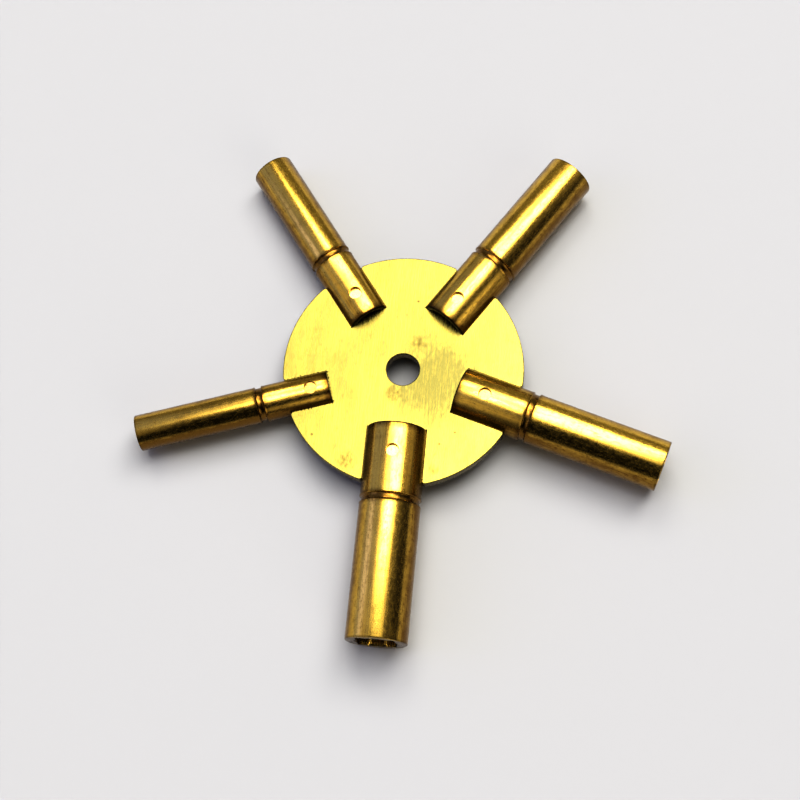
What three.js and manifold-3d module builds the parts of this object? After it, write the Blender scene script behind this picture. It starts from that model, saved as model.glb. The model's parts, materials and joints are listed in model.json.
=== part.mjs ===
// Five-arm brass star key. A notched hub disc carries five graded socket tubes. Each tube is slid
// over a tongue of the disc, fits the milled walls of its notch, butts against the notch's floor and
// is held by one cross pin through tube wall, tongue and tube wall. Units are millimetres and +Z is
// up. The disc lies level, the largest tube points along -Y, and the part stands on the origin's
// plane.
import * as THREE from 'three';
import { mergeVertices } from 'three/addons/utils/BufferGeometryUtils.js';
import Module from 'manifold-3d';

const wasm = await Module();
wasm.setup();

// Hub disc
const HUB_RADIUS = 16;
const HUB_THICKNESS = 1.6;
const HUB_HOLE_RADIUS = 2.2;
const NOTCH_CORNER_RADIUS = 0.6;
const TONGUE_TIP_RADIUS = 15;

// Tubes and pins
const PIN_RADIUS = 0.85;
const GROOVE_WIDTH = 0.9;
const GROOVE_DEPTH = 0.18;
const SOCKET_DEPTH = 14;
const SOCKET_CORNER_RADIUS = 0.35;
const MOUTH_CHAMFER = 0.2;
const PILOT_CLEARANCE = 0.08; // how far the drilled pilot bore passes the square's flats
const SEAT_OVERRUN = 1; // how far the seat bore runs past the tongue's tip
const FIT_GAP = 0.1; // clearance between pieces that touch on the real key

const SEGMENTS = 32;

// One entry for each arm, counter-clockwise from the largest. square is the socket's size across
// flats, angle the arm's direction in degrees, and inner, pin, groove and outer are distances from
// the hub's centre to the tube's inner end, its pin, its groove and its mouth. sink is how far the
// pin's flat ends lie below the tube's crest. The seats are cut by hand, so the arms are up to 2
// degrees off an even fifth of a turn.
const ARMS = [
  { name: '5_0', square: 5.0, radius: 4.0, seatBore: 2.9, angle: -90, inner: 8.1, pin: 12.0,
    groove: 18.0, outer: 36.2, sink: 0.4 },
  { name: '4_5', square: 4.5, radius: 3.35, seatBore: 2.45, angle: -17, inner: 8.0, pin: 11.7,
    groove: 17.9, outer: 36.2, sink: 0.4 },
  { name: '4_0', square: 4.0, radius: 3.3, seatBore: 2.35, angle: 56, inner: 8.6, pin: 11.7,
    groove: 19.1, outer: 36.3, sink: 0.4 },
  { name: '3_5', square: 3.5, radius: 2.82, seatBore: 2.0, angle: 126.5, inner: 8.7, pin: 12.1,
    groove: 18.8, outer: 35.4, sink: 0.4 },
  { name: '3_0', square: 3.0, radius: 2.4, seatBore: 1.7, angle: 198, inner: 9.9, pin: 12.4,
    groove: 19.3, outer: 36.1, sink: 0.25 },
];

const brass = (color, roughness) => new THREE.MeshStandardMaterial({ color, roughness, metalness: 1 });

// Closed mesh to manifold solid
function toSolid(geometry) {
  const bare = geometry.clone();
  bare.deleteAttribute('normal');
  bare.deleteAttribute('uv');
  const merged = mergeVertices(bare, 1e-5);
  const mesh = new wasm.Mesh({
    numProp: 3,
    vertProperties: merged.attributes.position.array,
    triVerts: new Uint32Array(merged.index.array),
  });
  return new wasm.Manifold(mesh);
}

// Manifold solid to geometry
function toGeometry(solid) {
  const mesh = solid.getMesh();
  const geometry = new THREE.BufferGeometry();
  geometry.setAttribute('position', new THREE.BufferAttribute(new Float32Array(mesh.vertProperties), 3));
  geometry.setIndex(new THREE.BufferAttribute(new Uint32Array(mesh.triVerts), 1));
  geometry.computeVertexNormals();
  return geometry;
}

// Solid round bar along +X from x = start to x = end
function barAlongX(radius, start, end) {
  const geometry = new THREE.CylinderGeometry(radius, radius, end - start, SEGMENTS);
  geometry.rotateZ(-Math.PI / 2);
  geometry.translate((start + end) / 2, 0, 0);
  return toSolid(geometry);
}

// Solid upright bar of a pin or its hole, at x = centre
function uprightBar(radius, height, centre) {
  const geometry = new THREE.CylinderGeometry(radius, radius, height, SEGMENTS);
  geometry.rotateX(Math.PI / 2);
  geometry.translate(centre, 0, 0);
  return toSolid(geometry);
}

// Square prism with rounded edges along +X from x = start to x = end
function squareAlongX(side, cornerRadius, start, end) {
  const half = side / 2;
  const flat = half - cornerRadius;
  const shape = new THREE.Shape();
  shape.moveTo(half, -flat);
  shape.absarc(flat, flat, cornerRadius, 0, Math.PI / 2, false);
  shape.absarc(-flat, flat, cornerRadius, Math.PI / 2, Math.PI, false);
  shape.absarc(-flat, -flat, cornerRadius, Math.PI, 1.5 * Math.PI, false);
  shape.absarc(flat, -flat, cornerRadius, 1.5 * Math.PI, 2 * Math.PI, false);
  const geometry = new THREE.ExtrudeGeometry(shape, {
    depth: end - start,
    bevelEnabled: false,
    curveSegments: 2,
  });
  geometry.rotateY(Math.PI / 2);
  geometry.translate(start, 0, 0);
  return toSolid(geometry);
}

// Half of the widest flat tongue that slides into an arm's seat bore
function tongueHalfWidth(arm) {
  const clearBore = arm.seatBore * Math.cos(Math.PI / SEGMENTS);
  return Math.sqrt(clearBore ** 2 - (HUB_THICKNESS / 2) ** 2) - FIT_GAP;
}

// Point in the disc's plane, given along and across an arm
function onArm(arm, along, across) {
  const turn = THREE.MathUtils.degToRad(arm.angle);
  return new THREE.Vector2(along, across).rotateAround(new THREE.Vector2(), turn);
}

// Hollow mill that cuts an arm's notch to the tube's curve and leaves the tongue inside it
function hollowMill(arm) {
  const start = arm.inner - FIT_GAP;
  const end = HUB_RADIUS + SEAT_OVERRUN;
  const mill = barAlongX(arm.radius + FIT_GAP, start, end);
  const core = barAlongX(arm.seatBore, start - SEAT_OVERRUN, end + SEAT_OVERRUN);
  return mill.subtract(core).rotate([0, 0, arm.angle]);
}

// Hub disc: a round outline with one notch for each arm, each notch with a central tongue
function hubGeometry() {
  const shape = new THREE.Shape();
  const line = (arm, along, across) => {
    const point = onArm(arm, along, across);
    shape.lineTo(point.x, point.y);
  };
  const corner = (arm, control, end) => {
    const bend = onArm(arm, ...control);
    const finish = onArm(arm, ...end);
    shape.quadraticCurveTo(bend.x, bend.y, finish.x, finish.y);
  };
  const notches = ARMS.map((arm) => {
    const halfWidth = Math.sqrt((arm.radius + FIT_GAP) ** 2 - (HUB_THICKNESS / 2) ** 2);
    const cornerAlong = Math.sqrt(HUB_RADIUS ** 2 - halfWidth ** 2);
    const rimTurn = Math.asin(halfWidth / HUB_RADIUS) + NOTCH_CORNER_RADIUS / HUB_RADIUS;
    return { arm, halfWidth, cornerAlong, rimTurn, turn: THREE.MathUtils.degToRad(arm.angle) };
  });
  notches.forEach(({ arm, halfWidth, cornerAlong, rimTurn, turn }, index) => {
    const next = notches[(index + 1) % notches.length];
    const nextTurn = next.turn + (index + 1 === notches.length ? 2 * Math.PI : 0);
    const floor = arm.inner - FIT_GAP;
    const tongue = tongueHalfWidth(arm);
    const sideEnd = cornerAlong - NOTCH_CORNER_RADIUS;
    const rimPoint = [HUB_RADIUS * Math.cos(rimTurn), HUB_RADIUS * Math.sin(rimTurn)];
    if (index === 0) {
      const start = onArm(arm, rimPoint[0], -rimPoint[1]);
      shape.moveTo(start.x, start.y);
    }
    corner(arm, [cornerAlong, -halfWidth], [sideEnd, -halfWidth]);
    line(arm, floor, -halfWidth);
    line(arm, floor, -tongue);
    line(arm, TONGUE_TIP_RADIUS, -tongue);
    line(arm, TONGUE_TIP_RADIUS, tongue);
    line(arm, floor, tongue);
    line(arm, floor, halfWidth);
    line(arm, sideEnd, halfWidth);
    corner(arm, [cornerAlong, halfWidth], rimPoint);
    shape.absarc(0, 0, HUB_RADIUS, turn + rimTurn, nextTurn - next.rimTurn, false);
  });
  const holes = [{ centre: new THREE.Vector2(), radius: HUB_HOLE_RADIUS }];
  ARMS.forEach((arm) => holes.push({ centre: onArm(arm, arm.pin, 0), radius: PIN_RADIUS + FIT_GAP }));
  holes.forEach(({ centre, radius }) => {
    const path = new THREE.Path();
    path.absarc(centre.x, centre.y, radius, 0, 2 * Math.PI, true);
    shape.holes.push(path);
  });
  const geometry = new THREE.ExtrudeGeometry(shape, {
    depth: HUB_THICKNESS,
    bevelEnabled: false,
    curveSegments: 12,
  });
  geometry.translate(0, 0, -HUB_THICKNESS / 2);
  return toGeometry(ARMS.reduce((plate, arm) => plate.subtract(hollowMill(arm)), toSolid(geometry)));
}

// Turned tube along +X with its groove, seat bore, square socket and pin hole
function tubeGeometry(arm) {
  const { radius, square, seatBore, inner, pin, groove, outer } = arm;
  const pilotBore = square / 2 + PILOT_CLEARANCE;
  const seatEnd = TONGUE_TIP_RADIUS + SEAT_OVERRUN;
  const halfGroove = GROOVE_WIDTH / 2;
  const grooveRadius = radius - GROOVE_DEPTH;
  const profile = [
    [seatBore, inner],
    [radius, inner],
    [radius, groove - halfGroove],
    [grooveRadius, groove - halfGroove + GROOVE_DEPTH],
    [grooveRadius, groove + halfGroove - GROOVE_DEPTH],
    [radius, groove + halfGroove],
    [radius, outer - MOUTH_CHAMFER / 2],
    [radius - MOUTH_CHAMFER / 2, outer],
    [pilotBore + MOUTH_CHAMFER, outer],
    [pilotBore, outer - MOUTH_CHAMFER],
    [pilotBore, seatEnd],
    [seatBore, seatEnd - (seatBore - pilotBore)],
    [seatBore, inner],
  ].map(([r, along]) => new THREE.Vector2(r, along));
  const turned = new THREE.LatheGeometry(profile, SEGMENTS);
  turned.rotateZ(-Math.PI / 2);
  const socket = squareAlongX(square, SOCKET_CORNER_RADIUS, outer - SOCKET_DEPTH, outer + 1);
  const pinHole = uprightBar(PIN_RADIUS + FIT_GAP, 3 * radius, pin);
  return toGeometry(toSolid(turned).subtract(socket).subtract(pinHole));
}

// Cross pin, cut flat a little below the tube's crest at both ends
function pinGeometry(arm) {
  return toGeometry(uprightBar(PIN_RADIUS, 2 * (arm.radius - arm.sink), arm.pin));
}

function addMesh(group, name, geometry, material) {
  const mesh = new THREE.Mesh(geometry, material);
  mesh.name = name;
  group.add(mesh);
}

const key = new THREE.Group();
addMesh(key, 'hub_disc', hubGeometry(), brass(0xe8cf55, 0.32));
for (const arm of ARMS) {
  const group = new THREE.Group();
  group.rotation.z = THREE.MathUtils.degToRad(arm.angle);
  addMesh(group, `socket_tube_${arm.name}mm`, tubeGeometry(arm), brass(0xc79a35, 0.3));
  addMesh(group, `cross_pin_${arm.name}mm`, pinGeometry(arm), brass(0xd9b74a, 0.35));
  key.add(group);
}

// Stand the key on the origin's plane, centred under its overall box
const box = new THREE.Box3().setFromObject(key, true);
const centre = box.getCenter(new THREE.Vector3());
key.position.set(-centre.x, -centre.y, -box.min.z);

const part = new THREE.Group();
part.add(key);
export default part;
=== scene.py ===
"""Looks of a five-arm brass star key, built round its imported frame. Lengths are metres, +Z is up."""
import json
import logging
import math
from dataclasses import dataclass
from enum import Enum

import bmesh
import bpy
from mathutils import Matrix, Vector


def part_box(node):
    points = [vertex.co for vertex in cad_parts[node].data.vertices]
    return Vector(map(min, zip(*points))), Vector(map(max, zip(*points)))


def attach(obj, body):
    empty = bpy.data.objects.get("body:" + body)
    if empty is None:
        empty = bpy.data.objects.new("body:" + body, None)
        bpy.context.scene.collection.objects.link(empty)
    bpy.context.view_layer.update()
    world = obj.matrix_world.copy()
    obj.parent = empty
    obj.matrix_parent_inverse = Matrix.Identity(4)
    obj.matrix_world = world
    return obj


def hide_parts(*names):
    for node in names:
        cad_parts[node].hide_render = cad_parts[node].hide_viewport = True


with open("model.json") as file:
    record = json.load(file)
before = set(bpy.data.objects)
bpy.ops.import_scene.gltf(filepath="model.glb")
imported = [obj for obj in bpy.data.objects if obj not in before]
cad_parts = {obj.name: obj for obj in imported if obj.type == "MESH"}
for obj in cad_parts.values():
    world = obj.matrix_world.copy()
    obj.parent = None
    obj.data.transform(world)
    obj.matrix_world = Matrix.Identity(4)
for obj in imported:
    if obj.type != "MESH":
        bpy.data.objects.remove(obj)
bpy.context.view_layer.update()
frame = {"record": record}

logging.basicConfig(level=logging.INFO, format="%(message)s")
log = logging.getLogger("star_key")

MM = 0.001
ROOT = "root"
SIZES = ("5_0", "4_5", "4_0", "3_5", "3_0")
WELD_REACH = 0.0005 * MM
MERGE_REACH = 0.0002 * MM
# A soft round spot is at full strength out to this share of its radius.
SPOT_CORE = 0.35


class Slot(Enum):
    """The record's material slots."""

    HUB = "hub_brass"
    TUBE = "tube_brass"
    PIN = "pin_brass"


class Burring(Enum):
    """How a notch's edge is burred: the burrs' pitch and size."""

    FINE = (1.6 * MM, 0.09 * MM)
    COARSE = (0.45 * MM, 0.16 * MM)


class Blend(Enum):
    """How a layer of a pattern joins the layers before it."""

    ADD = "ADD"
    MULTIPLY = "MULTIPLY"


# ---------------------------------------------------------------- small helpers


def to_linear(colour: str) -> tuple[float, float, float, float]:
    """Turns an sRGB hex colour into the linear RGBA that a socket takes.

    Args:
        colour: Six hex digits, such as "D9A441".

    Returns:
        Red, green, blue and an alpha of 1, linear.
    """
    channels = [int(colour[i : i + 2], 16) / 255 for i in (0, 2, 4)]
    linear = [c / 12.92 if c <= 0.04045 else ((c + 0.055) / 1.055) ** 2.4 for c in channels]
    return (*linear, 1.0)


def add_node(
    tree: bpy.types.NodeTree, kind: str, settings: dict | None = None, sockets: dict | None = None
) -> bpy.types.Node:
    """Adds a node, sets it up and links it.

    Args:
        tree: The tree that the node goes into.
        kind: The node's type name.
        settings: Attribute values of the node.
        sockets: A value or an output socket for each input, by name or number.

    Returns:
        The new node.
    """
    node = tree.nodes.new(kind)
    for name, value in (settings or {}).items():
        setattr(node, name, value)
    for name, value in (sockets or {}).items():
        if isinstance(value, bpy.types.NodeSocket):
            tree.links.new(value, node.inputs[name])
        else:
            node.inputs[name].default_value = value
    return node


def new_object(name: str, mesh: bpy.types.Mesh) -> bpy.types.Object:
    """Puts a mesh into the scene as an object at the origin.

    Args:
        name: The object's name.
        mesh: Its mesh.

    Returns:
        The object.
    """
    made = bpy.data.objects.new(name, mesh)
    bpy.context.scene.collection.objects.link(made)
    return made


def evaluated_mesh(source: bpy.types.Object) -> bpy.types.Mesh:
    """Turns an object with modifiers into a plain mesh and removes the object.

    Args:
        source: The object, which is deleted.

    Returns:
        The mesh that its modifiers make.
    """
    graph = bpy.context.evaluated_depsgraph_get()
    mesh = bpy.data.meshes.new_from_object(source.evaluated_get(graph))
    bpy.data.objects.remove(source)
    return mesh


def soft_shade(mesh: bpy.types.Mesh, sharp_above: float = math.radians(28)) -> None:
    """Shades a mesh smooth except at its sharp edges.

    Args:
        mesh: The mesh.
        sharp_above: The angle, in radians, from which an edge is sharp.
    """
    mesh.shade_smooth()
    mesh.set_sharp_from_angle(angle=sharp_above)


def loft(rings: list[list[Vector]]) -> bpy.types.Mesh:
    """Skins a row of rings of equal length, closed at both ends by a point.

    Args:
        rings: The rings in order. The first and last have one point each.

    Returns:
        A closed mesh.
    """
    points = [point for ring in rings for point in ring]
    starts = [sum(len(ring) for ring in rings[:i]) for i in range(len(rings))]
    faces = []
    for index in range(len(rings) - 1):
        low, high = rings[index], rings[index + 1]
        count = max(len(low), len(high))
        for k in range(count):
            after = (k + 1) % count
            corner = [starts[index] + k % len(low), starts[index] + after % len(low)]
            corner += [starts[index + 1] + after % len(high), starts[index + 1] + k % len(high)]
            faces.append(tuple(dict.fromkeys(corner)))
    mesh = bpy.data.meshes.new("loft")
    mesh.from_pydata(points, [], faces)
    weld(mesh)
    return mesh


def weld(mesh: bpy.types.Mesh) -> None:
    """Joins a mesh's doubled points and turns its faces outwards.

    Args:
        mesh: The mesh, which is changed in place.
    """
    shell = bmesh.new()
    shell.from_mesh(mesh)
    bmesh.ops.remove_doubles(shell, verts=shell.verts, dist=WELD_REACH)
    bmesh.ops.recalc_face_normals(shell, faces=shell.faces)
    shell.to_mesh(mesh)
    shell.free()


def circle(radius: float, sides: int, shift: float = 0.0) -> list[tuple[float, float]]:
    """Makes the points of a circle.

    Args:
        radius: Its radius.
        sides: How many points it has.
        shift: How far the first point is turned, counted in sides.

    Returns:
        The two coordinates of each point.
    """
    turns = [2 * math.pi * (k + shift) / sides for k in range(sides)]
    return [(radius * math.cos(turn), radius * math.sin(turn)) for turn in turns]


def mirrored(upper: list[list[Vector]]) -> list[list[Vector]]:
    """Adds the mirror image below z = 0 to a row of rings, from the last ring back to the first."""
    return upper + [[Vector((p.x, p.y, -p.z)) for p in ring] for ring in reversed(upper)]


def cut(body: bpy.types.Object, tools: list[bpy.types.Mesh]) -> bpy.types.Mesh:
    """Cuts closed tool meshes out of a closed body, and removes all of them.

    Args:
        body: The object to cut, which is deleted.
        tools: The cutters' meshes.

    Returns:
        The mesh that is left.
    """
    cutters = [new_object("cutter", tool) for tool in tools]
    for cutter in cutters:
        modifier = body.modifiers.new("cut", "BOOLEAN")
        modifier.operation = "DIFFERENCE"
        modifier.solver = "EXACT"
        modifier.object = cutter
    mesh = evaluated_mesh(body)
    for cutter in cutters:
        bpy.data.objects.remove(cutter)
    return mesh


def new_tree(
    name: str, inputs: dict[str, str]
) -> tuple[bpy.types.NodeTree, dict[str, bpy.types.NodeSocket]]:
    """Starts a geometry tree.

    Args:
        name: The tree's name.
        inputs: The name of each input and its kind, such as "Float".

    Returns:
        The tree, and the socket that gives each input's value inside it.
    """
    tree = bpy.data.node_groups.new(name, "GeometryNodeTree")
    tree.interface.new_socket("Geometry", in_out="OUTPUT", socket_type="NodeSocketGeometry")
    for label, kind in inputs.items():
        tree.interface.new_socket(label, in_out="INPUT", socket_type=f"NodeSocket{kind}")
    given = add_node(tree, "NodeGroupInput")
    return tree, {label: given.outputs[label] for label in inputs}


def end_tree(tree: bpy.types.NodeTree, shape: bpy.types.NodeSocket, material: bpy.types.NodeSocket) -> None:
    """Ends a geometry tree: its instances are made real and get a material.

    Args:
        tree: The tree.
        shape: What it has made.
        material: The material.
    """
    real = add_node(tree, "GeometryNodeRealizeInstances", None, {0: shape})
    sockets = {"Geometry": real.outputs[0], "Material": material}
    dressed = add_node(tree, "GeometryNodeSetMaterial", None, sockets)
    add_node(tree, "NodeGroupOutput", None, {0: dressed.outputs[0]})


def run_tree(tree: bpy.types.NodeTree, start: bpy.types.Mesh, inputs: dict[str, object]) -> bpy.types.Mesh:
    """Runs a geometry tree on a mesh.

    Args:
        tree: The tree.
        start: The mesh that it starts from.
        inputs: A value for each named input, which is set by its socket's identifier.

    Returns:
        The mesh that it makes.
    """
    source = new_object(tree.name, start)
    modifier = source.modifiers.new(tree.name, "NODES")
    modifier.node_group = tree
    for item in tree.interface.items_tree:
        if item.item_type == "SOCKET" and item.in_out == "INPUT" and item.name in inputs:
            modifier[item.identifier] = inputs[item.name]
    return evaluated_mesh(source)


def finish_piece(
    name: str, mesh: bpy.types.Mesh, material: bpy.types.Material, replaced: str | None
) -> bpy.types.Object:
    """Makes a finished piece of the key and ties it to the frame.

    Args:
        name: The piece's name.
        mesh: Its mesh, in place.
        material: Its material.
        replaced: The frame node that it stands for, or None.

    Returns:
        The piece.
    """
    mesh.materials.clear()
    mesh.materials.append(material)
    piece = new_object(name, mesh)
    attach(piece, ROOT)
    if replaced:
        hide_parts(replaced)
    log.info("%s: %d faces", name, len(mesh.polygons))
    return piece


def noise_mm(
    tree: bpy.types.NodeTree, position: bpy.types.NodeSocket, scale: tuple, detail: float
) -> bpy.types.NodeSocket:
    """Adds noise that is stretched by a scale for each axis.

    Args:
        tree: The material's tree.
        position: Coordinates in millimetres.
        scale: Waves per millimetre on each axis.
        detail: The noise's octaves.

    Returns:
        The noise, from 0 to 1.
    """
    stretched = add_node(tree, "ShaderNodeVectorMath", {"operation": "MULTIPLY"}, {0: position, 1: scale})
    sockets = {"Vector": stretched.outputs[0], "Scale": 1.0, "Detail": detail, "Roughness": 0.6}
    return add_node(tree, "ShaderNodeTexNoise", None, sockets).outputs["Fac"]


@dataclass(frozen=True)
class Layer:
    """One layer of a pattern: a value, the two values that it runs between and its strength at each."""

    value: bpy.types.NodeSocket
    start: float
    end: float
    low: float
    high: float
    blend: Blend = Blend.ADD


def layered(tree: bpy.types.NodeTree, layers: list[Layer]) -> bpy.types.NodeSocket:
    """Adds or multiplies the layers of a pattern in turn, from nothing.

    Args:
        tree: The tree that the pattern is in.
        layers: The layers in order.

    Returns:
        The pattern's strength, from 0 to 1.
    """
    total = 0.0
    for layer in layers:
        edges = {"From Min": layer.start, "From Max": layer.end, "To Min": layer.low, "To Max": layer.high}
        strength = add_node(tree, "ShaderNodeMapRange", None, {"Value": layer.value, **edges})
        settings = {"operation": layer.blend.value, "use_clamp": True}
        sockets = {0: total, 1: strength.outputs["Result"]}
        total = add_node(tree, "ShaderNodeMath", settings, sockets).outputs[0]
    return total


def painted(
    tree: bpy.types.NodeTree, base: str, coats: list[tuple[bpy.types.NodeSocket, str]]
) -> bpy.types.NodeSocket:
    """Lays colours over a base colour in turn.

    Args:
        tree: The tree that the colours are in.
        base: The base colour in hex.
        coats: The mask and hex colour of each coat.

    Returns:
        The colour.
    """
    colour = to_linear(base)
    for mask, coat in coats:
        sockets = {"Factor": mask, 6: colour, 7: to_linear(coat)}
        colour = add_node(tree, "ShaderNodeMix", {"data_type": "RGBA"}, sockets).outputs[2]
    return colour


def metal(
    tree: bpy.types.NodeTree,
    colour: bpy.types.NodeSocket,
    roughness: bpy.types.NodeSocket,
    reliefs: list[tuple[bpy.types.NodeSocket, float, float]],
) -> None:
    """Adds the metal shader, its relief and the material's output.

    Args:
        tree: The material's tree.
        colour: The metal's colour.
        roughness: Its roughness.
        reliefs: For each fine relief, its height, its strength and its depth in millimetres.
    """
    normal = {}
    for height, strength, depth in reliefs:
        sockets = {"Strength": strength, "Distance": depth * MM, "Height": height, **normal}
        normal = {"Normal": add_node(tree, "ShaderNodeBump", None, sockets).outputs["Normal"]}
    sockets = {"Base Color": colour, "Metallic": 1.0, "Roughness": roughness, **normal}
    shader = add_node(tree, "ShaderNodeBsdfPrincipled", None, sockets)
    add_node(tree, "ShaderNodeOutputMaterial", None, {"Surface": shader.outputs["BSDF"]})


def local_mm(tree: bpy.types.NodeTree, centre: Vector, turn: float = 0.0) -> bpy.types.NodeSocket:
    """Adds object coordinates in millimetres, counted from a centre and turned about +Z.

    Args:
        tree: The material's tree.
        centre: The point that they are counted from.
        turn: The angle of their x axis about +Z.

    Returns:
        The coordinates.
    """
    sockets = {
        "Vector": add_node(tree, "ShaderNodeTexCoord").outputs["Object"],
        "Location": tuple(centre),
        "Rotation": (0, 0, turn),
        "Scale": (MM, MM, MM),
    }
    return add_node(tree, "ShaderNodeMapping", {"vector_type": "TEXTURE"}, sockets).outputs["Vector"]


def empty_material(name: str) -> bpy.types.Material:
    """Makes a material with an empty node tree.

    Args:
        name: The material's name.

    Returns:
        The material.
    """
    material = bpy.data.materials.new(name)
    material.use_nodes = True
    material.node_tree.nodes.clear()
    return material


# ---------------------------------------------------------------- facts read from the frame


@dataclass(frozen=True)
class Arm:
    """Where one socket tube and its pin sit, with distances counted out from the hub's centre."""

    size: str
    centre: Vector
    direction: Vector
    radius: float
    inner: float
    pin: float
    pin_radius: float
    pin_reach: float
    mouth: float

    @classmethod
    def from_frame(cls, size: str, centre: Vector) -> "Arm":
        """Reads an arm from the frame's boxes and mounts.

        Args:
            size: The socket's size in the node names, such as "5_0".
            centre: The hub's centre.

        Returns:
            The arm.
        """
        mounts = frame["record"]["mounts"]
        mount = next(m for m in mounts if m["name"] == f"socket_mouth_{size}mm")
        direction = Vector(mount["axis"]).normalized()
        low, high = (Vector(corner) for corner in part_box(f"socket_tube_{size}mm"))
        radius = (high.z - low.z) / 2
        mouth = (Vector(mount["pos_m"]) - centre).dot(direction)
        # A level round bar's box is its length times the cosine plus its width times the sine.
        main = 0 if abs(direction.x) > abs(direction.y) else 1
        side = 2 * radius * abs(direction[1 - main])
        length = ((high - low)[main] - side) / abs(direction[main])
        pin_low, pin_high = (Vector(corner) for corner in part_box(f"cross_pin_{size}mm"))
        pin = ((pin_low + pin_high) / 2 - centre).dot(direction)
        pin_radius, pin_reach = (pin_high.x - pin_low.x) / 2, (pin_high.z - pin_low.z) / 2
        return cls(size, centre, direction, radius, mouth - length, pin, pin_radius, pin_reach, mouth)

    @property
    def square(self) -> float:
        """The socket's size across flats."""
        return float(self.size.replace("_", ".")) * MM

    @property
    def turn(self) -> float:
        """The arm's direction as an angle about +Z."""
        return math.atan2(self.direction.y, self.direction.x)

    @property
    def place(self) -> Matrix:
        """The matrix from the arm's own axes, with x along it, to the frame's."""
        return Matrix.Translation(self.centre) @ Matrix.Rotation(self.turn, 4, "Z")

    def on_disc(self, along: float, across: float) -> Vector:
        """A point of the disc's mid-plane, given along and across the arm."""
        return self.place @ Vector((along, across, 0))

    def underside(self, along: float) -> Vector:
        """The lowest point of the tube at a distance from the hub's centre."""
        return self.place @ Vector((along, 0, -self.radius))


# ---------------------------------------------------------------- finishes


@dataclass(frozen=True)
class TurnedBrass:
    """Drawn brass bar turned and polished in a lathe.

    A yellow metal gone brown with handling. Fine rings run round it from the tool, faint drawing
    streaks run along it, and the patina is thicker beside the grooves and at the inner end. The flanks
    are darkened below the crest as painted shade, and the sawn end faces are painted near black as
    painted shade with some grime. The real rings and grain are finer, and are drawn just coarse
    enough to show.
    """

    name: str
    clean: str = "F1CB63"
    # Tarnish brown, which also colours the painted shade on the flanks.
    tarnish_and_shade: str = "7E5F29"
    # Near black on the sawn end faces: painted shade, standing for their dark reflection, with some grime.
    grime_and_shade: str = "20160A"
    patina: float = 0.08
    roughness: float = 0.22
    roughness_spread: tuple[float, float] = (0.75, 1.4)
    ring_pitch_mm: float = 0.14
    ring_length_mm: float = 50.0
    streak_width_mm: float = 0.16
    streak_length_mm: float = 4.0
    stain_size_mm: float = 2.2
    grain_mm: float = 0.3
    # How much brown each layer adds where it is strongest.
    stain_brown: float = 0.3
    streak_brown: float = 0.4
    ring_brown: float = 0.25
    grain_brown: float = 0.4
    # The flanks' brown is painted shade, standing for the shadowed floor that they reflect.
    flank_shade: float = 0.75
    mark_brown: float = 0.75
    # Heights, as shares of the radius, where the flank's painted shade is gone and where it is full.
    flank: tuple[float, float] = (0.78, 0.45)
    # Distances from a groove, and from a sawn end face, where the groove's brown and the end face's painted
    # shade with grime are full, and where they are gone.
    mark_reach_mm: tuple[float, float] = (0.2, 1.0)
    end_reach_mm: tuple[float, float] = (0.06, 0.3)
    # The strength of each relief, and its depth in millimetres.
    ring_relief: tuple[float, float] = (0.08, 0.02)
    streak_relief: tuple[float, float] = (0.14, 0.03)

    def material(
        self, centre: Vector, turn: float, radius: float, marks: tuple = (), ends: tuple = ()
    ) -> bpy.types.Material:
        """Builds the finish for a bar that lies along one arm.

        Args:
            centre: The hub's centre, where the pattern starts.
            turn: The arm's angle about +Z.
            radius: The bar's radius. Its flanks are painted darker than its crest: painted shade.
            marks: Distances along the arm where the metal is browner, as at a groove.
            ends: For each sawn end face, its distance along the arm and how dark it is painted, 0 to 1:
                painted shade with some grime.

        Returns:
            The material.
        """
        material = empty_material(self.name)
        tree = material.node_tree
        position = local_mm(tree, centre, turn)
        place = add_node(tree, "ShaderNodeSeparateXYZ", None, {0: position})

        def away(axis: str, mark: float) -> bpy.types.NodeSocket:
            """Adds the distance from a mark on one of the arm's axes.

            Args:
                axis: "X" for along the arm or "Z" for upwards.
                mark: The mark's place on that axis.

            Returns:
                The distance, in millimetres.
            """
            sockets = {0: place.outputs[axis], 1: mark / MM}
            offset = add_node(tree, "ShaderNodeMath", {"operation": "SUBTRACT"}, sockets).outputs[0]
            return add_node(tree, "ShaderNodeMath", {"operation": "ABSOLUTE"}, {0: offset}).outputs[0]

        around, across = 1 / self.ring_length_mm, 1 / self.streak_width_mm
        blotch, grit = 1 / self.stain_size_mm, 1 / self.grain_mm
        rings = noise_mm(tree, position, (1 / self.ring_pitch_mm, around, around), detail=2.0)
        streaks = noise_mm(tree, position, (1 / self.streak_length_mm, across, across), detail=3.0)
        stains = noise_mm(tree, position, (blotch, blotch, blotch), detail=5.0)
        grain = noise_mm(tree, position, (grit / 2, grit, grit), detail=2.0)
        gone, full = (share * radius / MM for share in self.flank)
        browns_and_shade = [
            Layer(stains, 0.48, 0.75, self.patina, self.patina + self.stain_brown),
            Layer(streaks, 0.5, 0.8, 0.0, self.streak_brown),
            Layer(rings, 0.55, 0.8, 0.0, self.ring_brown),
            Layer(grain, 0.5, 0.8, 0.0, self.grain_brown),
            # The flanks, darkened away from the crest: painted shade.
            Layer(away("Z", 0.0), gone, full, 0.0, self.flank_shade),
        ]
        browns_and_shade += [Layer(away("X", mark), *self.mark_reach_mm, self.mark_brown, 0.0) for mark in marks]
        coats = [(layered(tree, browns_and_shade), self.tarnish_and_shade)]
        # The sawn end faces, painted near black: painted shade with some grime.
        for end, most in ends:
            grimy_and_shaded = Layer(away("X", end), *self.end_reach_mm, most, 0.0)
            coats.append((layered(tree, [grimy_and_shaded]), self.grime_and_shade))
        smooth, rough = (self.roughness * share for share in self.roughness_spread)
        roughness = layered(tree, [Layer(grain, 0.3, 0.7, smooth, rough)])
        reliefs = [(rings, *self.ring_relief), (streaks, *self.streak_relief)]
        metal(tree, painted(tree, self.clean, coats), roughness, reliefs)
        return material


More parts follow.
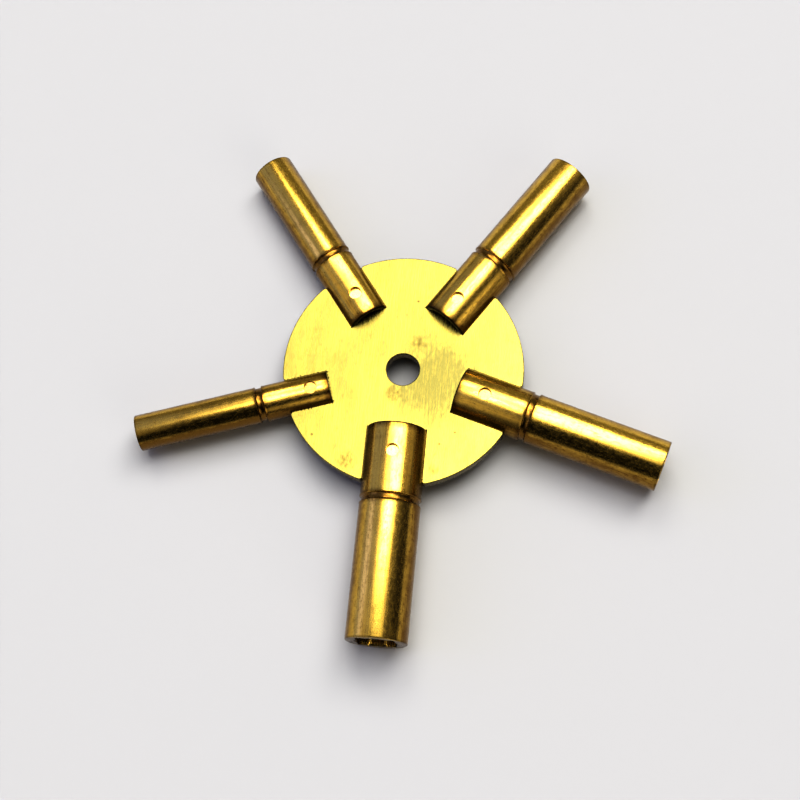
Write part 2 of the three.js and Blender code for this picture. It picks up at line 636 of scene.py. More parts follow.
@dataclass(frozen=True)
class RolledBrass:
    """Cold-rolled brass plate, sawn round and brushed along one direction.

    Paler and more lemon than the tubes, with fine straight brush lines, a dull patch beside the
    hanging hole, a few brown stains from handling and small dark pits. The sawn rim is darkened as
    painted shade. The real brush lines are finer, and are drawn just coarse enough to show.
    """

    name: str
    clean: str = "9D8F49"
    dull: str = "716A3A"
    # Brown of the stains, which also colours the painted shade on the rim.
    stain_and_shade: str = "4E3C1A"
    roughness: float = 0.26
    roughness_spread: tuple[float, float] = (0.75, 1.3)
    # A brush line's width, length and depth into the plate.
    brush_mm: tuple[float, float, float] = (0.2, 2.6, 2.0)
    flecks_per_mm: tuple[float, float, float] = (2.2, 1.3, 1.0)
    clouds_per_mm: tuple[float, float, float] = (0.3, 0.16, 0.2)
    # Distances from the hub's centre and radius, in millimetres.
    worn: tuple[float, float, float] = (5.0, -1.0, 7.5)
    stains: tuple = ((1.8, 3.9, 1.3), (-6.2, -13.0, 1.6), (5.3, -13.3, 0.9), (-1.0, -3.4, 1.4))
    pits: tuple = (
        (7.6, -8.2, 0.22),
        (5.7, -9.9, 0.2),
        (-12.5, -5.9, 0.22),
        (-11.1, -9.8, 0.25),
        (1.2, 9.8, 0.22),
    )
    pit_strength: float = 0.7
    # How dark the sawn rim is painted: painted shade.
    rim_shade_strength: float = 0.7
    # The brush lines' strength as relief, and their depth in millimetres.
    brush_relief: tuple[float, float] = (0.1, 0.02)

    def spots(
        self, tree: bpy.types.NodeTree, position: bpy.types.NodeSocket, places: tuple, most: float
    ) -> list[Layer]:
        """Makes soft round spots on the plate.

        Args:
            tree: The material's tree.
            position: Coordinates in millimetres from the hub's centre.
            places: The x, y and radius of each spot, in millimetres.
            most: Their strength in the middle.

        Returns:
            A layer for each spot.
        """
        sockets = {0: position, 1: (1, 1, 0)}
        flat = add_node(tree, "ShaderNodeVectorMath", {"operation": "MULTIPLY"}, sockets)
        layers = []
        for x, y, radius in places:
            sockets = {0: flat.outputs[0], 1: (x, y, 0)}
            away = add_node(tree, "ShaderNodeVectorMath", {"operation": "DISTANCE"}, sockets)
            layers.append(Layer(away.outputs["Value"], radius, SPOT_CORE * radius, 0.0, most))
        return layers

    def material(self, centre: Vector) -> bpy.types.Material:
        """Builds the finish of the hub's plate.

        Args:
            centre: The hub's centre.

        Returns:
            The material.
        """
        material = empty_material(self.name)
        tree = material.node_tree
        position = local_mm(tree, centre)
        brush = noise_mm(tree, position, tuple(1 / size for size in self.brush_mm), detail=4.0)
        fleck = noise_mm(tree, position, self.flecks_per_mm, detail=4.0)
        cloud = noise_mm(tree, position, self.clouds_per_mm, detail=3.0)
        normal = add_node(tree, "ShaderNodeNewGeometry").outputs["Normal"]
        upright = add_node(tree, "ShaderNodeSeparateXYZ", None, {0: normal}).outputs["Z"]
        level = add_node(tree, "ShaderNodeMath", {"operation": "ABSOLUTE"}, {0: upright}).outputs[0]
        # The dull patch, broken up by flecks and brush lines, and faint clouds all over.
        dulled = [
            *self.spots(tree, position, (self.worn,), 1.0),
            Layer(fleck, 0.3, 0.6, 0.55, 1.0, Blend.MULTIPLY),
            Layer(cloud, 0.4, 0.7, 0.0, 0.45),
            Layer(brush, 0.3, 0.65, 0.6, 1.0, Blend.MULTIPLY),
            Layer(brush, 0.4, 0.75, 0.0, 0.35),
            Layer(fleck, 0.5, 0.75, 0.0, 0.2),
        ]
        # Ragged stains, flecks and pits, and painted shade on the sawn rim, which is darker than the faces.
        stained_and_shaded = [
            *self.spots(tree, position, self.stains, 1.0),
            Layer(fleck, 0.35, 0.65, 0.05, 0.6, Blend.MULTIPLY),
            Layer(fleck, 0.64, 0.8, 0.0, 0.35),
            *self.spots(tree, position, self.pits, self.pit_strength),
            # The rim wall, darkened where the faces turn upright: painted shade.
            Layer(level, 0.5, 0.1, 0.0, self.rim_shade_strength),
        ]
        coats = [(layered(tree, dulled), self.dull), (layered(tree, stained_and_shaded), self.stain_and_shade)]
        smooth, rough = (self.roughness * share for share in self.roughness_spread)
        roughness = layered(tree, [Layer(brush, 0.3, 0.7, smooth, rough)])
        metal(tree, painted(tree, self.clean, coats), roughness, [(brush, *self.brush_relief)])
        return material


# ---------------------------------------------------------------- geometry trees


class Trees:
    """The geometry trees that the key's repeated pieces share."""

    @staticmethod
    def work_out(tree: bpy.types.NodeTree, values: dict[str, object], steps: tuple) -> None:
        """Adds the sums of a formula to a tree.

        Args:
            tree: The tree.
            values: The values known so far, by name. Each step's result joins them.
            steps: Each step's name, operation and terms, which are numbers or names of values.
        """
        for name, operation, *terms in steps:
            sockets = {index: values.get(term, term) for index, term in enumerate(terms)}
            values[name] = add_node(tree, "ShaderNodeMath", {"operation": operation}, sockets).outputs[0]

    @staticmethod
    def turned_body() -> bpy.types.NodeTree:
        """Builds the tree that turns a profile about +X.

        The profile is a closed row of points at (distance along, 0, radius). Its "square" attribute
        is 1 where the ring is a square socket's, whose half width and corner reach are inputs.

        Returns:
            The tree.
        """
        numbers = {"Sides": "Int", "Socket Half Width": "Float", "Corner Reach": "Float"}
        tree, given = new_tree("turned_body", {"Profile": "Geometry", **numbers, "Material": "Material"})
        profile = given["Profile"]
        # A grid with a row for each point of the profile and a column for each side is rolled up.
        values = {
            "sides": given["Sides"],
            "half width": given["Socket Half Width"],
            "corner": given["Corner Reach"],
            "index": add_node(tree, "GeometryNodeInputIndex").outputs[0],
        }
        Trees.work_out(
            tree,
            values,
            (
                ("columns", "ADD", "sides", 1.0),
                ("middle", "ADD", "index", 0.5),
                ("row", "DIVIDE", "middle", "columns"),
                ("station", "FLOOR", "row"),
                ("passed", "MULTIPLY", "station", "columns"),
                ("column", "SUBTRACT", "index", "passed"),
                ("share", "DIVIDE", "column", "sides"),
                ("angle", "MULTIPLY", "share", 2 * math.pi),
                ("cosine", "COSINE", "angle"),
                ("sine", "SINE", "angle"),
            ),
        )
        count = add_node(tree, "GeometryNodeAttributeDomainSize", {"component": "MESH"}, {0: profile})
        sockets = {"Vertices X": count.outputs["Point Count"], "Vertices Y": values["columns"]}
        grid = add_node(tree, "GeometryNodeMeshGrid", None, sockets)
        here = add_node(tree, "GeometryNodeInputPosition").outputs[0]
        settings, sockets = {"data_type": "FLOAT"}, {"Name": "square"}
        square = add_node(tree, "GeometryNodeInputNamedAttribute", settings, sockets)
        read = {}
        for kind, field in (("FLOAT_VECTOR", here), ("FLOAT", square.outputs["Attribute"])):
            sockets = {"Geometry": profile, "Value": field, "Index": values["station"]}
            read[kind] = add_node(tree, "GeometryNodeSampleIndex", {"data_type": kind}, sockets).outputs[0]
        point = add_node(tree, "ShaderNodeSeparateXYZ", None, {0: read["FLOAT_VECTOR"]})
        values.update({"round": point.outputs["Z"], "square": read["FLOAT"]})
        Trees.work_out(
            tree,
            values,
            (
                ("across", "ABSOLUTE", "cosine"),
                ("up", "ABSOLUTE", "sine"),
                ("widest", "MAXIMUM", "across", "up"),
                ("flat", "DIVIDE", "half width", "widest"),
                ("cornered", "MINIMUM", "flat", "corner"),
                ("socket", "MULTIPLY", "cornered", "square"),
                ("radius", "MAXIMUM", "round", "socket"),
                ("y", "MULTIPLY", "radius", "cosine"),
                ("z", "MULTIPLY", "radius", "sine"),
            ),
        )
        sockets = {"X": point.outputs["X"], "Y": values["y"], "Z": values["z"]}
        place = add_node(tree, "ShaderNodeCombineXYZ", None, sockets)
        sockets = {"Geometry": grid.outputs["Mesh"], "Position": place.outputs[0]}
        rolled = add_node(tree, "GeometryNodeSetPosition", None, sockets)
        sockets = {"Geometry": rolled.outputs[0], "Distance": MERGE_REACH}
        merged = add_node(tree, "GeometryNodeMergeByDistance", None, sockets)
        end_tree(tree, merged.outputs[0], given["Material"])
        return tree

    @staticmethod
    def burrs() -> bpy.types.NodeTree:
        """Builds the tree that sets small ragged burrs along a sawn edge.

        Returns:
            The tree.
        """
        numbers = {"Pitch": "Float", "Size": "Float", "Seed": "Int"}
        tree, given = new_tree("burrs", {"Edge": "Geometry", **numbers, "Material": "Material"})
        drawn = {}
        # How far each burr strays and its half sizes, as shares of the burrs' size, and its turn.
        for name, low, high in (
            ("stray", (-0.7, -0.7, -0.2), (0.7, 0.7, 0.2)),
            ("turn", (0, 0, 0), (6.28, 6.28, 6.28)),
            ("half sizes", (0.2, 0.3, 0.2), (0.7, 1.1, 0.5)),
        ):
            sockets = {0: low, 1: high, "Seed": given["Seed"]}
            value = add_node(tree, "FunctionNodeRandomValue", {"data_type": "FLOAT_VECTOR"}, sockets)
            drawn[name] = value.outputs[0]
        for name in ("stray", "half sizes"):
            sockets = {0: drawn[name], "Scale": given["Size"]}
            value = add_node(tree, "ShaderNodeVectorMath", {"operation": "SCALE"}, sockets)
            drawn[name] = value.outputs[0]
        line = add_node(tree, "GeometryNodeMeshToCurve", None, {0: given["Edge"]})
        sockets = {"Curve": line.outputs[0], "Length": given["Pitch"]}
        places = add_node(tree, "GeometryNodeCurveToPoints", {"mode": "LENGTH"}, sockets)
        sockets = {"Geometry": places.outputs["Points"], "Offset": drawn["stray"]}
        strewn = add_node(tree, "GeometryNodeSetPosition", None, sockets)
        chip = add_node(tree, "GeometryNodeMeshIcoSphere", None, {"Radius": 1.0, "Subdivisions": 1})
        sockets = {
            "Points": strewn.outputs[0],
            "Instance": chip.outputs["Mesh"],
            "Rotation": drawn["turn"],
            "Scale": drawn["half sizes"],
        }
        chips = add_node(tree, "GeometryNodeInstanceOnPoints", None, sockets)
        end_tree(tree, chips.outputs[0], given["Material"])
        return tree


# ---------------------------------------------------------------- sub-assemblies


@dataclass
class SocketTube:
    """One turned tube with a square socket in its mouth and a pinned seat at its inner end."""

    arm: Arm
    groove: float
    tree: bpy.types.NodeTree
    finish: TurnedBrass
    groove_width: float = 0.9 * MM
    groove_depth: float = 0.2 * MM
    burr: float = 0.05 * MM
    edge: float = 0.12 * MM
    wall: float = 0.7 * MM
    socket_depth: float = 14 * MM
    corner_radius: float = 0.35 * MM
    pilot_clearance: float = 0.08 * MM
    seat_end: float = 16 * MM
    pin_clearance: float = 0.005 * MM
    pin_edge: float = 0.02 * MM
    # How far the worn inner end is rounded, as a share of the radius.
    worn: float = 0.07
    # A quarter round is short of its corner by these shares of its radius, at 60 and 30 degrees.
    round_off: tuple[float, float] = (0.13, 0.5)
    flare: float = 0.2 * MM
    seat_slope: float = 0.3 * MM
    drill_rise: float = 0.5 * MM
    # How dark the two sawn end faces are painted: painted shade, standing for their dark reflection, with
    # some grime.
    inner_grime_and_shade: float = 0.9
    mouth_grime_and_shade: float = 0.5
    sides: int = 128
    drill_sides: int = 64

    def profile(self) -> list[tuple[float, float, float]]:
        """Draws the wall's section.

        Returns:
            A closed row of (distance along, radius, 1 where the ring is square).
        """
        arm, edge, burr = self.arm, self.edge, self.burr
        radius, floor = arm.radius, arm.radius - self.groove_depth
        pilot = arm.square / 2 + self.pilot_clearance
        seat = radius - self.wall
        half = self.groove_width / 2
        worn = self.worn * radius
        near, far = (share * worn for share in self.round_off)
        socket_floor = arm.mouth - self.socket_depth
        # One side of the groove, from its raised lip down to its floor, as distances from its middle.
        lip = [
            (half + edge * 2.5, radius),
            (half + edge, radius + burr * 0.6),
            (half + edge * 0.4, radius + burr),
            (half, radius + burr * 0.3),
            (half - edge * 0.8, floor + edge * 0.3),
            (half - edge * 1.4, floor),
        ]
        section = [
            (arm.inner + edge / 2, seat, 0),
            (arm.inner, seat + edge / 2, 0),
            (arm.inner, radius - worn, 0),
            (arm.inner + near, radius - far, 0),
            (arm.inner + far, radius - near, 0),
            (arm.inner + worn, radius, 0),
            *((self.groove - away, height, 0) for away, height in lip),
            *((self.groove + away, height, 0) for away, height in reversed(lip)),
            (arm.mouth - edge, radius, 0),
            (arm.mouth - edge * 0.3, radius - edge * 0.3, 0),
            (arm.mouth, radius - edge, 0),
            (arm.mouth, pilot + self.flare, 1),
            (arm.mouth - self.flare, pilot, 1),
            (socket_floor, pilot, 1),
            (socket_floor, pilot, 0),
            (self.seat_end, pilot, 0),
            (self.seat_end - self.seat_slope, seat, 0),
        ]
        return section + section[:1]

    def drill(self) -> bpy.types.Mesh:
        """Makes the solid that the pin's hole leaves, its rim broken by a trace.

        Returns:
            A closed mesh in the arm's own axes.
        """
        arm = self.arm
        hole = arm.pin_radius + self.pin_clearance
        top = arm.radius + self.drill_rise

        def ring(radius: float, rise: float | None) -> list[Vector]:
            """Makes one ring of the drill.

            Args:
                radius: Its radius.
                rise: Its rise above the tube's surface, or None for the drill's top.

            Returns:
                Its points.
            """
            points = []
            for along, across in circle(radius, self.drill_sides):
                height = top if rise is None else math.sqrt(arm.radius**2 - across**2) + rise
                points.append(Vector((arm.pin + along, across, height)))
            return points

        flare = self.pin_edge
        upper = [
            [Vector((arm.pin, 0, top))],
            ring(hole + 2 * flare, None),
            ring(hole + 2 * flare, flare),
            ring(hole, -flare),
        ]
        return loft(mirrored(upper))

    def build(self) -> bpy.types.Object:
        """Turns the tube, bores its pin hole and dresses it.

        Returns:
            The finished piece.
        """
        arm, section = self.arm, self.profile()
        row = bpy.data.meshes.new("profile")
        points = [(along, 0, radius) for along, radius, _ in section]
        row.from_pydata(points, [(k, k + 1) for k in range(len(section) - 1)], [])
        square = row.attributes.new("square", "FLOAT", "POINT")
        for point, (_, _, flag) in zip(square.data, section):
            point.value = flag
        ends = ((arm.inner, self.inner_grime_and_shade), (arm.mouth, self.mouth_grime_and_shade))
        material = self.finish.material(arm.centre, arm.turn, arm.radius, (self.groove, arm.inner), ends)
        half = arm.square / 2
        inputs = {
            "Sides": self.sides,
            "Socket Half Width": half,
            "Corner Reach": half * math.sqrt(2) - self.corner_radius * (math.sqrt(2) - 1),
            "Material": material,
        }
        mesh = cut(new_object("bored", run_tree(self.tree, row, inputs)), [self.drill()])
        mesh.transform(arm.place)
        soft_shade(mesh)
        node = f"socket_tube_{arm.size}mm"
        return finish_piece(f"turned_{node}", mesh, material, node)


@dataclass
class CrossPin:
    """One pin through tube and tongue, cut flat a little below the tube's crest."""

    arm: Arm
    finish: TurnedBrass
    sides: int = 64
    edge: float = 0.04 * MM
    sunk: float = 0.15 * MM

    def build(self) -> bpy.types.Object:
        """Makes the pin and dresses it.

        Returns:
            The finished piece.
        """
        arm, edge = self.arm, self.edge
        reach = arm.pin_reach - self.sunk
        upper = [[Vector((arm.pin, 0, reach))]]
        for radius, height in ((arm.pin_radius - edge, reach), (arm.pin_radius, reach - edge)):
            upper.append([Vector((arm.pin + x, y, height)) for x, y in circle(radius, self.sides)])
        mesh = loft(mirrored(upper))
        mesh.transform(arm.place)
        soft_shade(mesh)
        material = self.finish.material(arm.centre, arm.turn, arm.pin_radius)
        node = f"cross_pin_{arm.size}mm"
        return finish_piece(f"cut_{node}", mesh, material, node)


@dataclass
class HubDisc:
    """The notched plate that carries the tubes on its tongues."""

    centre: Vector
    radius: float
    thickness: float
    arms: list[Arm]
    finish: RolledBrass
    hole_radius: float = 2.2 * MM
    corner_radius: float = 0.6 * MM
    tongue_tip: float = 15 * MM
    gap: float = 0.02 * MM
    wall: float = 0.7 * MM
    edge: float = 0.1 * MM
    # The mill widens each notch's outline, so only this share of the chamfer is left beside a tube.
    edge_left: float = 0.6
    pin_clearance: float = 0.03 * MM
    mill_overrun: float = 2 * MM
    sharp_above: float = math.radians(20)
    hole_sides: int = 96
    pin_hole_sides: int = 32
    mill_sides: int = 96
    rim_steps: int = 40
    corner_steps: int = 6

    @classmethod
    def from_frame(cls, finish: RolledBrass) -> "HubDisc":
        """Reads the plate's place and size from the frame.

        Args:
            finish: Its finish.

        Returns:
            The hub, with its arms.
        """
        low, high = (Vector(corner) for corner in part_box("hub_disc"))
        radius = (high.x - low.x) / 2
        # The notches cut the plate's lowest edge away, so its centre is counted from the top edge.
        centre = Vector(((low.x + high.x) / 2, high.y - radius, (low.z + high.z) / 2))
        arms = [Arm.from_frame(size, centre) for size in SIZES]
        return cls(centre, radius, high.z - low.z, arms, finish)

    def arc(self, start: float, end: float) -> list[Vector]:
        """Makes points of the rim.

        Args:
            start: The first point's angle.
            end: The last point's angle.

        Returns:
            The points.
        """
        points = []
        for k in range(self.rim_steps + 1):
            angle = start + (end - start) * k / self.rim_steps
            points.append(self.centre + Vector((math.cos(angle), math.sin(angle), 0)) * self.radius)
        return points

    def notch(self, arm: Arm) -> list[Vector]:
        """Draws one notch and its tongue, with the rim's corners rounded on each side.

        Args:
            arm: The arm that sits in the notch.

        Returns:
            The outline's points, counter-clockwise about the plate.
        """
        bore = arm.radius - self.wall
        tongue = math.sqrt(bore**2 - (self.thickness / 2) ** 2) - 2 * self.gap
        left = self.edge_left * self.edge
        half = math.sqrt((arm.radius + self.gap) ** 2 - (self.thickness / 2) ** 2) - left
        floor = arm.inner + left
        corner = math.sqrt(self.radius**2 - half**2)
        rim = math.asin(half / self.radius) + self.corner_radius / self.radius
        rim_point = Vector((math.cos(rim), math.sin(rim))) * self.radius
        bend = Vector((corner, half))
        side = Vector((corner - self.corner_radius, half))
        right = [Vector((floor, half))]
        for k in range(self.corner_steps + 1):
            t = k / self.corner_steps
            right.append((1 - t) ** 2 * side + 2 * t * (1 - t) * bend + t * t * rim_point)
        tip = [Vector((floor, tongue)), Vector((self.tongue_tip, tongue))]
        outline = [Vector((p.x, -p.y)) for p in [*reversed(right), *tip]]
        outline += [*reversed(tip), *right]
        return [arm.on_disc(p.x, p.y) for p in outline]

    def mill(self, arm: Arm) -> bpy.types.Mesh:
        """Makes the ring that a hollow mill cuts for a tube, leaving the tongue inside it.

        Args:
            arm: The tube's arm.

        Returns:
            A closed mesh, in place.
        """
        start, end = arm.inner - self.gap, self.radius + self.mill_overrun
        outer, inner = arm.radius + self.gap, arm.radius - self.wall
        rings = []
        for along, radius in ((start, outer), (end, outer), (end, inner), (start, inner)):
            ring = circle(radius, self.mill_sides, shift=0.5)
            rings.append([arm.place @ Vector((along, y, z)) for y, z in ring])
        return loft(rings + rings[:1])

    def outline(self) -> list[Vector]:
        """Draws the whole plate.

        Returns:
            The outline's points, counter-clockwise.
        """
        points = []
        notches = [self.notch(arm) for arm in self.arms]
        for notch, following in zip(notches, notches[1:] + notches[:1]):
            last, first = notch[-1] - self.centre, following[0] - self.centre
            start = math.atan2(last.y, last.x)
            sweep = (math.atan2(first.y, first.x) - start) % (2 * math.pi)
            points += notch + self.arc(start, start + sweep)[1:-1]
        return points

    def hole(self, centre: Vector, radius: float, sides: int) -> list[Vector]:
        """Draws a round hole of the plate from its centre, radius and count of sides."""
        return [centre + Vector((x, y, 0)) * radius for x, y in circle(1.0, sides)]

    def build(self) -> bpy.types.Object:
        """Cuts the plate with its chamfered edges and dresses it.

        Returns:
            The finished piece.
        """
        curve = bpy.data.curves.new("plate", "CURVE")
        curve.dimensions = "2D"
        curve.fill_mode = "BOTH"
        curve.extrude = self.thickness / 2 - self.edge
        curve.bevel_depth = self.edge
        curve.bevel_resolution = 1
        curve.offset = -self.edge
        loops = [self.outline(), self.hole(self.centre, self.hole_radius, self.hole_sides)]
        for arm in self.arms:
            radius = arm.pin_radius + self.pin_clearance
            loops.append(self.hole(arm.on_disc(arm.pin, 0), radius, self.pin_hole_sides))
        for loop in loops:
            spline = curve.splines.new("POLY")
            spline.points.add(len(loop) - 1)
            for point, place in zip(spline.points, loop):
                point.co = (place.x, place.y, 0, 1)
            spline.use_cyclic_u = True
        mesh = evaluated_mesh(new_object("plate", curve))
        mesh.transform(Matrix.Translation((0, 0, self.centre.z)))
        weld(mesh)
        mesh = cut(new_object("blank", mesh), [self.mill(arm) for arm in self.arms])
        soft_shade(mesh, self.sharp_above)
        return finish_piece("plate_hub_disc", mesh, self.finish.material(self.centre), "hub_disc")


@dataclass
class NotchBurrs:
    """Ragged burrs that the saw left along a notch's upper edge, coloured near black as oxide and as
    painted crevice shade.
    """

    hub: HubDisc
    arm: Arm
    tree: bpy.types.NodeTree
    finish: RolledBrass
    burring: Burring
    seed: int
    # The burrs sit in the middle of the chamfer, this share of its width from the tube.
    set_out: float = 0.4

    def build(self) -> bpy.types.Object:
        """Sets the burrs and dresses them.

        Returns:
            The finished piece.
        """
        arm, hub = self.arm, self.hub
        rise, away = hub.thickness / 2, self.set_out * hub.edge
        half = math.sqrt(arm.radius**2 - rise**2) + away
        corner = math.sqrt(hub.radius**2 - half**2) - hub.corner_radius
        floor = arm.inner - away
        row = bpy.data.meshes.new("edge")
        corners = [(corner, -half), (floor, -half), (floor, half), (corner, half)]
        points = [arm.place @ Vector((x, y, rise)) for x, y in corners]
        row.from_pydata(points, [(0, 1), (1, 2), (2, 3)], [])
        material = self.finish.material(hub.centre)
        pitch, size = self.burring.value
        inputs = {"Pitch": pitch, "Size": size, "Seed": self.seed, "Material": material}
        mesh = run_tree(self.tree, row, inputs)
        return finish_piece(f"burrs_{arm.size}mm", mesh, material, None)


@dataclass(frozen=True)
class ArmLook:
    """What differs from arm to arm: the groove's place, and how brown the tube and the pin are."""

    groove: float
    patina: float
    pin_patina: float
    burring: Burring = Burring.FINE


@dataclass
class StarKey:
    """The whole key: hub, tubes, pins and burrs."""

    hub: HubDisc
    looks: dict[str, ArmLook]
    pin_colour: str = "EFD27E"
    # The burrs' near black brown: oxide, and painted shade of the crevice beside the tube.
    oxide_and_crevice_shade: RolledBrass = RolledBrass("burred_brass", clean="4A3818", dull="2A1C0C")

    def build(self) -> None:
        """Builds and dresses every piece."""
        self.hub.build()
        tree = Trees.turned_body()
        for arm in self.hub.arms:
            look = self.looks[arm.size]
            SocketTube(arm, look.groove, tree, TurnedBrass("turned_brass", patina=look.patina)).build()
            cut_brass = TurnedBrass("cut_brass", clean=self.pin_colour, patina=look.pin_patina)
            CrossPin(arm, cut_brass).build()
        burrs = Trees.burrs()
        for seed, arm in enumerate(self.hub.arms):
            NotchBurrs(self.hub, arm, burrs, self.oxide_and_crevice_shade, self.looks[arm.size].burring, seed).build()
        log.info("key built with %d arms", len(self.hub.arms))


# ---------------------------------------------------------------- studio


@dataclass(frozen=True)
class Softbox:
    """A rectangular lamp that faces the hub.

    It leans from overhead towards +X (east) and +Y (north), and is as wide and as deep as the half
    angles that it spans from east to west and from north to south. All four are degrees, seen from
    the hub. Its glow is 1 where it looks white.
    """

    name: str
    east: float
    north: float
    wide: float
    deep: float
    glow: float

    def hang(self, hub: Vector, distance: float) -> None:
        """Hangs the lamp.

        Args:
            hub: The point that it faces.
            distance: How far it is from there.
        """
        lamp = bpy.data.lights.new(self.name, "AREA")
        lamp.shape = "RECTANGLE"
        lamp.size = 2 * distance * math.tan(math.radians(self.wide))
        lamp.size_y = 2 * distance * math.tan(math.radians(self.deep))
        lamp.energy = self.glow * math.pi * lamp.size * lamp.size_y
        softbox = bpy.data.objects.new(self.name, lamp)
        east, north = (math.tan(math.radians(lean)) for lean in (self.east, self.north))
        towards = Vector((east, north, 1)).normalized()
        softbox.location = hub + towards * distance
        softbox.rotation_mode = "QUATERNION"
        softbox.rotation_quaternion = towards.to_track_quat("Z", "Y")
        bpy.context.scene.collection.objects.link(softbox)


@dataclass(frozen=True)
class RoomPatch:
    """A soft round patch of the room, given by its direction and its half angles in degrees."""

    direction: tuple[float, float, float]
    outer: float
    inner: float
    colour: str

    def mask(self, tree: bpy.types.NodeTree, ray: bpy.types.NodeSocket) -> bpy.types.NodeSocket:
        """Adds the patch's mask.

        Args:
            tree: The room's tree.
            ray: The direction that is looked in.

        Returns:
            The mask, 1 within the inner half angle and 0 past the outer one.
        """
        sockets = {0: ray, 1: Vector(self.direction).normalized()}
        facing = add_node(tree, "ShaderNodeVectorMath", {"operation": "DOT_PRODUCT"}, sockets)
        outer, inner = (math.cos(math.radians(angle)) for angle in (self.outer, self.inner))
        sockets = {"Value": facing.outputs["Value"], "From Min": outer, "From Max": inner}
        settings = {"interpolation_type": "SMOOTHSTEP"}
        return add_node(tree, "ShaderNodeMapRange", settings, sockets).outputs["Result"]


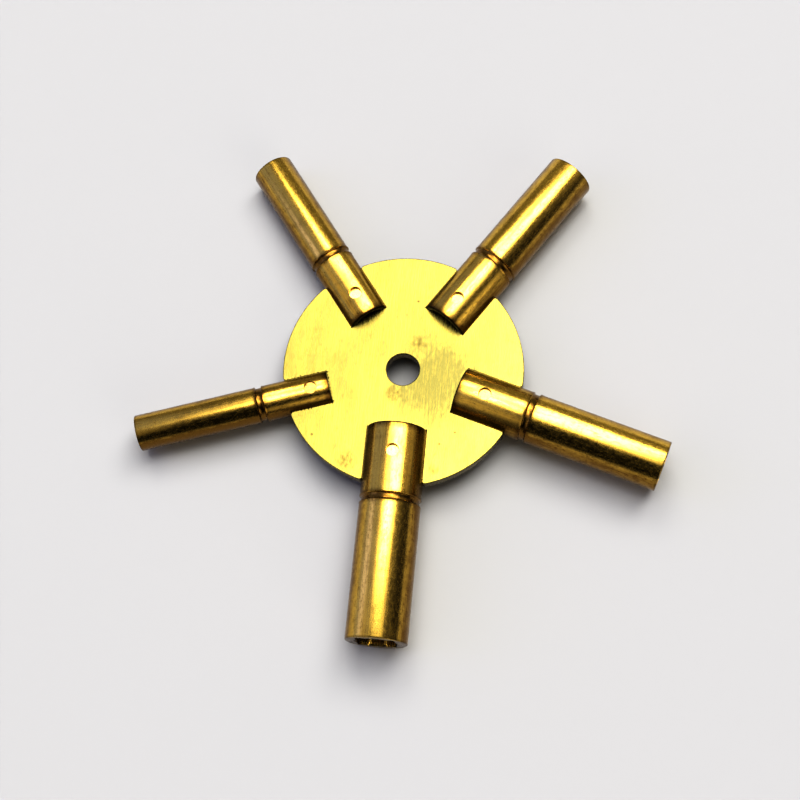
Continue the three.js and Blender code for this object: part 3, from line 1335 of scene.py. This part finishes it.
@dataclass
class Studio:
    """Plain pale floor, soft light and the camera."""

    hub: HubDisc
    azimuth: float = math.radians(17.93)
    elevation: float = math.radians(71.09)
    roll: float = math.radians(-13.12)
    distance: float = 201.3 * MM
    aim: tuple[float, float] = (-0.053 * MM, -4.01 * MM)
    lens: float = 68.6
    sensor: float = 36
    clip: tuple[float, float] = (0.01, 20)
    gamma: float = 0.7
    floor_size: float = 6.0
    floor_gap: float = 0.01 * MM
    floor_colour: str = "B8B7B5"
    floor_roughness: float = 0.85
    room: str = "403E3E"
    room_glow: float = 2.8
    # A pale band behind the floor's far edge, and the elevations where it starts to fade and is gone.
    horizon: str = "94928F"
    horizon_fade: tuple[float, float] = (math.radians(1), math.radians(4))
    patches: tuple[RoomPatch, ...] = (
        RoomPatch((0, 1, 0.3), 70, 35, "565448"),
        RoomPatch((-1, 0, 0.45), 50, 30, "70769A"),
        RoomPatch((-1, -0.05, 0.55), 15, 7, "A4A8F4"),
        RoomPatch((0.15, -1, 0.8), 46, 27, "030202"),
        RoomPatch((0.93, -0.25, 0.27), 34, 14, "1A1818"),
        RoomPatch((0.66, -0.66, 0.37), 25, 10, "C8C4BC"),
        RoomPatch((-0.67, -0.45, 0.59), 24, 10, "8A8680"),
        RoomPatch((0.76, 0.53, 0.37), 18, 8, "7C7874"),
    )
    lamp_distance: float = 6.0
    lamps: tuple[Softbox, ...] = (
        Softbox("softbox_outer", east=3, north=17, wide=29, deep=33, glow=1.1),
        Softbox("softbox", east=1, north=19, wide=23, deep=26, glow=1.0),
        Softbox("bank_east", east=15.5, north=20, wide=13.5, deep=25, glow=6.2),
        Softbox("bank_north", east=-10, north=35, wide=10, deep=9, glow=5.6),
        Softbox("bank_south", east=-7, north=2, wide=7, deep=8, glow=5.6),
    )

    def resting_plane(self) -> tuple[Vector, Vector]:
        """Finds the plane that the key rests on, tilted because its tubes differ in size.

        Returns:
            A point of the plane and its upward normal.
        """
        largest, _, third, fourth, _ = self.hub.arms
        contacts = [
            largest.underside(largest.inner),
            third.underside(third.mouth),
            fourth.underside(fourth.mouth),
        ]
        normal = (contacts[1] - contacts[0]).cross(contacts[2] - contacts[0]).normalized()
        return contacts[0], normal if normal.z > 0 else -normal

    def build_floor(self) -> None:
        """Lays the floor under the key."""
        point, normal = self.resting_plane()
        across = normal.cross(Vector((0, 1, 0))).normalized() * self.floor_size / 2
        forward = normal.cross(across).normalized() * self.floor_size / 2
        below = point - normal * self.floor_gap
        corners = [below + across + forward, below - across + forward]
        corners += [below - across - forward, below + across - forward]
        mesh = bpy.data.meshes.new("floor")
        mesh.from_pydata(corners, [], [(0, 1, 2, 3)])
        if mesh.polygons[0].normal.z < 0:
            mesh.flip_normals()
        material = bpy.data.materials.new("floor_paint")
        material.use_nodes = True
        shader = material.node_tree.nodes["Principled BSDF"]
        shader.inputs["Base Color"].default_value = to_linear(self.floor_colour)
        shader.inputs["Roughness"].default_value = self.floor_roughness
        mesh.materials.append(material)
        new_object("floor", mesh)

    def build_room(self) -> None:
        """Surrounds the key with a dim room: dark towards the viewer, paler to the left."""
        world = bpy.data.worlds.new("room")
        bpy.context.scene.world = world
        world.use_nodes = True
        tree = world.node_tree
        tree.nodes.clear()
        ray = add_node(tree, "ShaderNodeTexCoord").outputs["Generated"]
        rise = add_node(tree, "ShaderNodeSeparateXYZ", None, {0: ray}).outputs["Z"]
        solid, gone = (math.sin(angle) for angle in self.horizon_fade)
        coats = [(patch.mask(tree, ray), patch.colour) for patch in self.patches]
        coats.append((layered(tree, [Layer(rise, solid, gone, 1.0, 0.0)]), self.horizon))
        sockets = {"Color": painted(tree, self.room, coats), "Strength": self.room_glow}
        background = add_node(tree, "ShaderNodeBackground", None, sockets)
        add_node(tree, "ShaderNodeOutputWorld", None, {"Surface": background.outputs[0]})
        settings = bpy.context.scene.view_settings
        settings.view_transform = "Standard"
        settings.look = "None"
        settings.gamma = self.gamma

    def build_camera(self) -> None:
        """Sets the camera over the key, leaning from the side of the largest tube."""
        turn, rise = self.azimuth, self.elevation
        back = Vector((math.sin(turn) * math.cos(rise), -math.cos(turn) * math.cos(rise), math.sin(rise)))
        level = Vector((math.cos(turn), math.sin(turn), 0))
        upright = back.cross(level)
        right = level * math.cos(self.roll) + upright * math.sin(self.roll)
        up = upright * math.cos(self.roll) - level * math.sin(self.roll)
        data = bpy.data.cameras.new("camera")
        data.lens = self.lens
        data.sensor_width = self.sensor
        data.clip_start, data.clip_end = self.clip
        camera = bpy.data.objects.new("camera", data)
        place = self.hub.centre + Vector((*self.aim, 0)) + back * self.distance
        turned = Matrix((right, up, back)).transposed().to_4x4()
        camera.matrix_world = Matrix.Translation(place) @ turned
        bpy.context.scene.collection.objects.link(camera)
        bpy.context.scene.camera = camera

    def build(self) -> None:
        """Sets up the camera, the floor and the light."""
        self.build_camera()
        self.build_floor()
        self.build_room()
        for lamp in self.lamps:
            lamp.hang(self.hub.centre, self.lamp_distance)


def write_sizes() -> None:
    """Brings the scene's layers up to date."""
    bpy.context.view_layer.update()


def main() -> None:
    """Builds the key and its studio."""
    hub = HubDisc.from_frame(RolledBrass("rolled_brass"))
    looks = {
        "5_0": ArmLook(groove=18.0 * MM, patina=0.1, pin_patina=0.1),
        "4_5": ArmLook(groove=17.9 * MM, patina=0.05, pin_patina=0.45),
        "4_0": ArmLook(groove=19.1 * MM, patina=0.1, pin_patina=0.2),
        "3_5": ArmLook(groove=18.8 * MM, patina=0.15, pin_patina=0.0),
        "3_0": ArmLook(groove=19.3 * MM, patina=0.3, pin_patina=0.5, burring=Burring.COARSE),
    }
    Studio(hub).build()
    StarKey(hub, looks).build()
    write_sizes()


if __name__ == "__main__":
    main()
